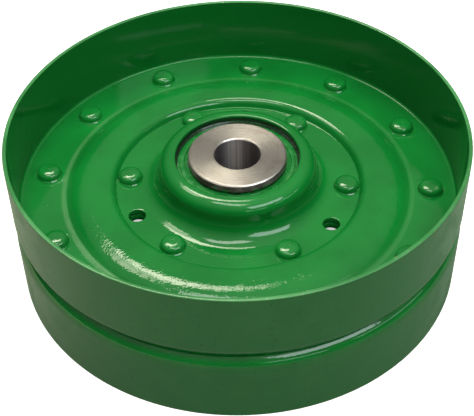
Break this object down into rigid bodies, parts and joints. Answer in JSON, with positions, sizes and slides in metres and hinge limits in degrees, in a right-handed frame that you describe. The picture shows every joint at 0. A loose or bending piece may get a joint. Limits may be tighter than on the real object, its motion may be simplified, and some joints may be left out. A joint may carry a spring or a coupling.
{
  "type": "flat belt tensioner idler pulley",
  "caption": "Flat-faced steel belt idler pulley of pressed green pans riveted back to back, turning on sealed ball bearings and a flanged steel bush with a bolt bore.",
  "frame": {"origin": "centre of the pulley on its axis, where the two pans meet", "axes": "+Z along the pulley's axis and up as it lies flat; X and Y in the plane where the pans meet, with the rivets' first circle position 5 degrees clockwise of +X"},
  "size_m": [0.1968, 0.1968, 0.0684],
  "materials": {
    "green_enamel": "glossy enamel with a fine orange peel",
    "green_enamel_rivets": "glossy enamel, pooled round the heads",
    "painted_seal": "glossy enamel over the bearing seal",
    "turned_steel": "fine turned rings, light oil stains",
    "bearing_steel": "ground",
    "ball_steel": "polished",
    "cage_steel": "pressed sheet, satin",
    "seal_rubber": "moulded nitrile"
  },
  "bodies": {
    "hub": {"upper_bush": "turned_steel", "upper_inner_ring": "bearing_steel", "lower_bush": "turned_steel", "lower_inner_ring": "bearing_steel"},
    "wheel": {"upper_pan": "green_enamel", "lower_pan": "green_enamel", "outer_rivets": "green_enamel_rivets", "inner_rivets": "green_enamel_rivets", "upper_outer_ring": "bearing_steel", "upper_outboard_seal": "painted_seal", "upper_inboard_seal": "seal_rubber", "lower_outer_ring": "bearing_steel", "lower_outboard_seal": "painted_seal", "lower_inboard_seal": "seal_rubber"},
    "upper_ball_train": {"upper_balls": "ball_steel", "upper_cage_outboard": "cage_steel", "upper_cage_inboard": "cage_steel", "upper_cage_rivets": "cage_steel"},
    "lower_ball_train": {"lower_balls": "ball_steel", "lower_cage_outboard": "cage_steel", "lower_cage_inboard": "cage_steel", "lower_cage_rivets": "cage_steel"}
  },
  "joints": [
    {"name": "wheel_spin", "type": "hinge", "parent": "hub", "child": "wheel", "pos_m": [0, 0, 0], "axis": [0, 0, 1], "continuous": true},
    {"name": "upper_cage_spin", "type": "hinge", "parent": "hub", "child": "upper_ball_train", "pos_m": [0, 0, 0.008], "axis": [0, 0, 1], "continuous": true},
    {"name": "lower_cage_spin", "type": "hinge", "parent": "hub", "child": "lower_ball_train", "pos_m": [0, 0, -0.008], "axis": [0, 0, 1], "continuous": true}
  ],
  "couplings": [
    {"joint": "upper_cage_spin", "follows": "wheel_spin", "ratio": 0.60353},
    {"joint": "lower_cage_spin", "follows": "wheel_spin", "ratio": 0.60353}
  ]
}
